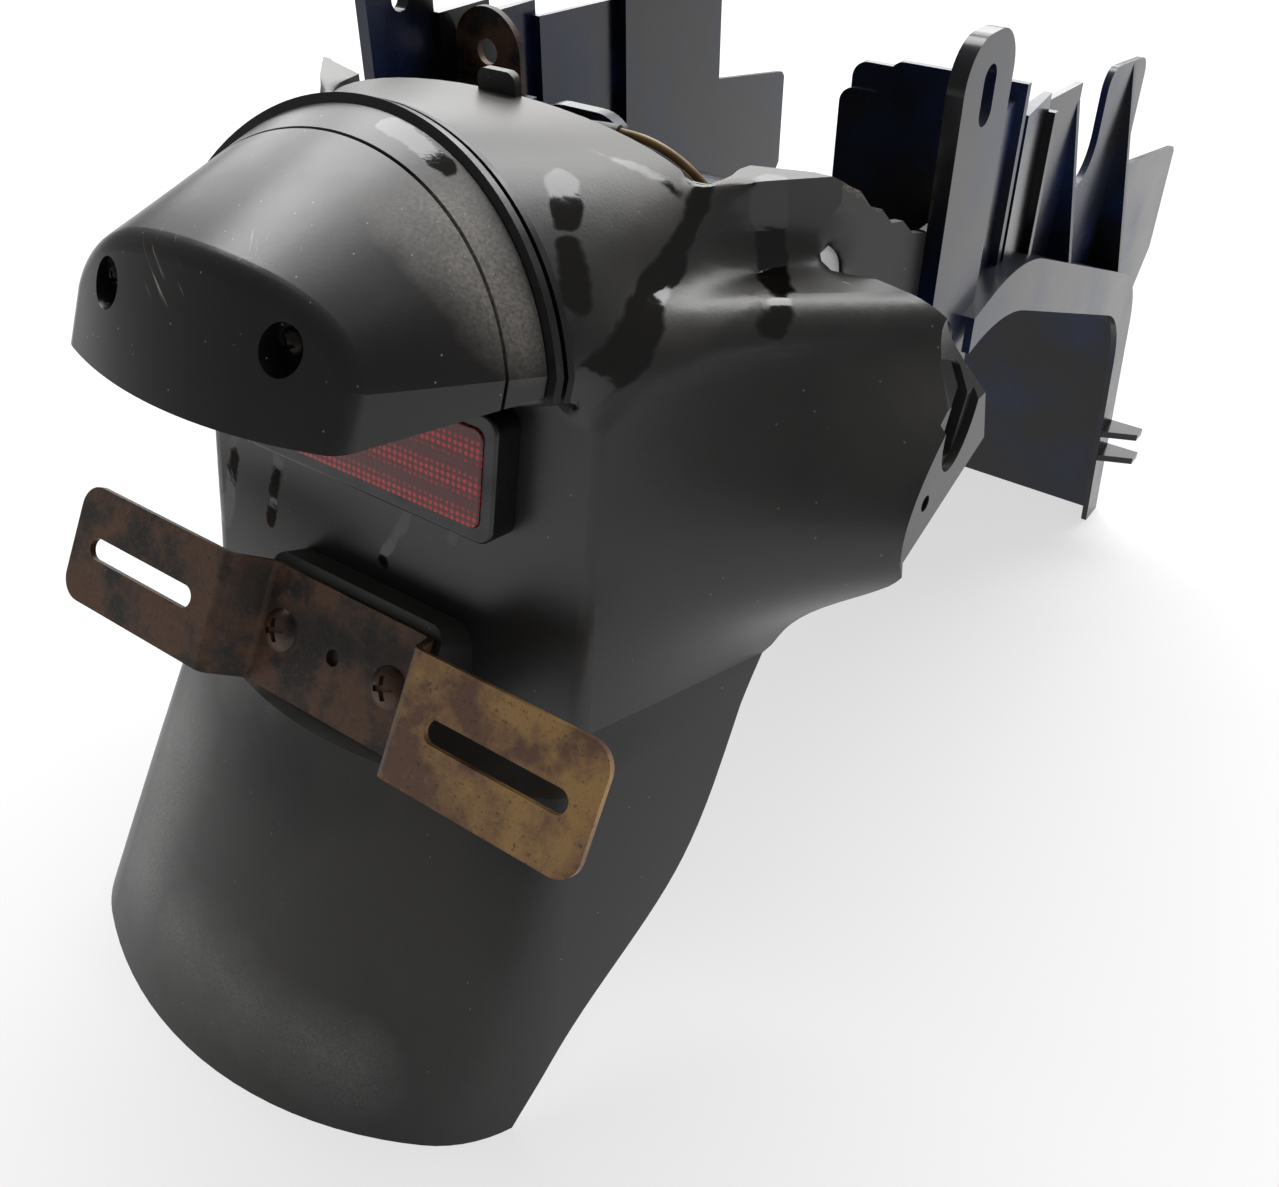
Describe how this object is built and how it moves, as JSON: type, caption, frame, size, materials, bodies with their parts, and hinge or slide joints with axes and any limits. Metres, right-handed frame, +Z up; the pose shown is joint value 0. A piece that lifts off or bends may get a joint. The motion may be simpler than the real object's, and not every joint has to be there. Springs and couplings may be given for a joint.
{
  "type": "motorcycle rear fender",
  "caption": "Black motorcycle tail fender with a hooded plate lamp, red reflector, rusty folded plate bracket, indicator bosses and an inner fender with upright arms.",
  "frame": {"origin": "middle of the underside, on the surface that the fender rests on", "axes": "+X to the fender's right, +Y forward along the motorcycle, +Z up"},
  "size_m": [0.272, 0.488, 0.265],
  "materials": {
    "tail_plastic": "satin moulded, worn, with oil stains",
    "inner_plastic": "glossy moulded",
    "cover_plastic": "semi-gloss, scratched",
    "black_rubber": "soft black",
    "rusty_steel": "rusted",
    "plated_steel": "dull zinc",
    "dark_steel": "black",
    "reflector_red": "prismatic red",
    "black_plastic": "black",
    "grey_plastic": "plain moulded",
    "clear_plastic": "clear",
    "bulb_glass": "clear",
    "tan_insulation": "tan"
  },
  "bodies": {
    "root": {"rear_fender": "tail_plastic", "inner_fender": "inner_plastic", "joint_screws": "dark_steel", "joint_nuts": "plated_steel", "mount_tab": "rusty_steel", "tab_rivets": "plated_steel", "plate_bracket": "rusty_steel", "plate_screws": "rusty_steel", "plate_washers": "plated_steel", "plate_nuts": "plated_steel", "reflector_housing": "black_plastic", "reflector_lens": "reflector_red", "reflector_nut": "plated_steel", "lamp_cover": "cover_plastic", "lamp_gasket": "black_rubber", "lamp_base": "grey_plastic", "lamp_nuts": "plated_steel", "lamp_window": "clear_plastic", "lamp_bulb": "bulb_glass", "bulb_holder": "black_plastic", "cover_screws": "dark_steel", "lead_grommet": "black_rubber", "lead_sleeve": "black_rubber", "lamp_lead_a": "tan_insulation", "lamp_lead_b": "tan_insulation", "lead_connectors": "black_plastic"}
  },
  "joints": []
}
